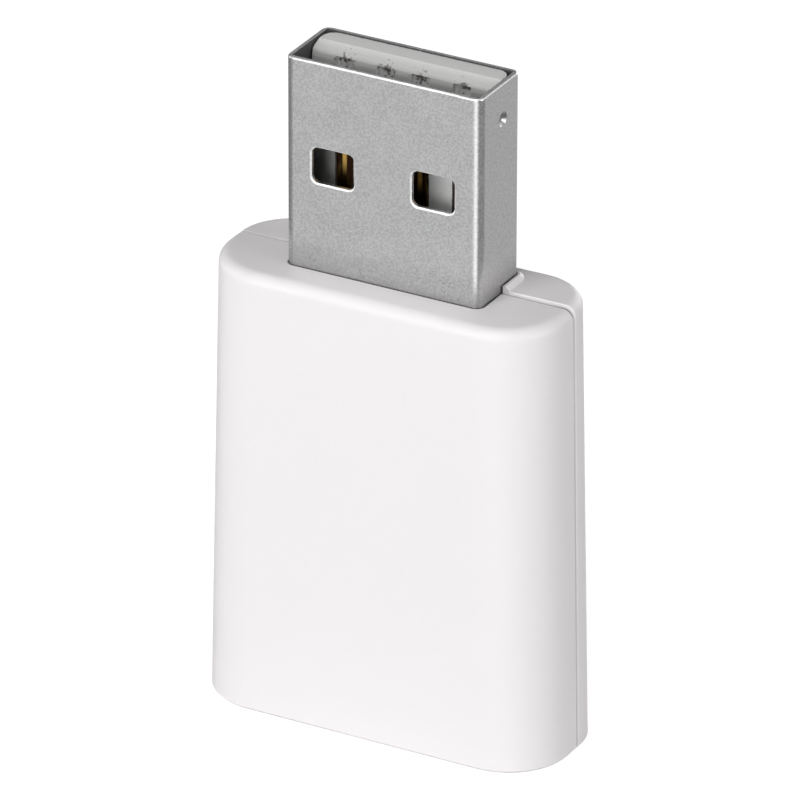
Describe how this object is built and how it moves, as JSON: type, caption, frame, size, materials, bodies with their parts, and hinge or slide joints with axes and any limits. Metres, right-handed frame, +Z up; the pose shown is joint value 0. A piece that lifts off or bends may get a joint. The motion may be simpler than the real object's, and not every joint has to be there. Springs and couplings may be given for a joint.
{
  "type": "plug-in signal repeater",
  "caption": "Small white two-shell signal repeater with a flat metal plug on its head, standing on its flat foot.",
  "frame": {"origin": "middle of the footprint, on the surface that the housing stands on", "axes": "+Z up through the plug to its tip, -Y out of the front face, +X to the right seen from the front"},
  "size_m": [0.0218, 0.0084, 0.0389],
  "materials": {
    "white_plastic": "satin moulded white",
    "plug_steel": "satin nickel plate with a fine grain",
    "pale_plastic": "pale grey moulded plastic",
    "contact_gold": "polished gold plate",
    "board_laminate": "green coated laminate",
    "chip_black": "black moulded plastic with tinned leads",
    "capacitor_ceramic": "tan ceramic with tinned ends",
    "resistor_ceramic": "dark coated ceramic with tinned ends",
    "antenna_ceramic": "white ceramic with tinned ends",
    "can_metal": "bright tinned sheet"
  },
  "bodies": {
    "root": {"front_housing": "white_plastic", "rear_cover": "white_plastic", "plug_shell": "plug_steel", "plug_insulator": "pale_plastic", "contact_power": "contact_gold", "contact_data_minus": "contact_gold", "contact_data_plus": "contact_gold", "contact_ground": "contact_gold", "circuit_board": "board_laminate", "voltage_regulator": "chip_black", "surge_protector": "chip_black", "input_capacitor": "capacitor_ceramic", "output_capacitor": "capacitor_ceramic", "data_resistor_minus": "resistor_ceramic", "data_resistor_plus": "resistor_ceramic", "radio_chip": "chip_black", "amplifier_chip": "chip_black", "crystal": "can_metal", "load_capacitor_left": "capacitor_ceramic", "load_capacitor_right": "capacitor_ceramic", "shield_can": "can_metal", "antenna": "antenna_ceramic", "matching_coil": "resistor_ceramic", "matching_capacitor": "capacitor_ceramic"}
  },
  "joints": []
}
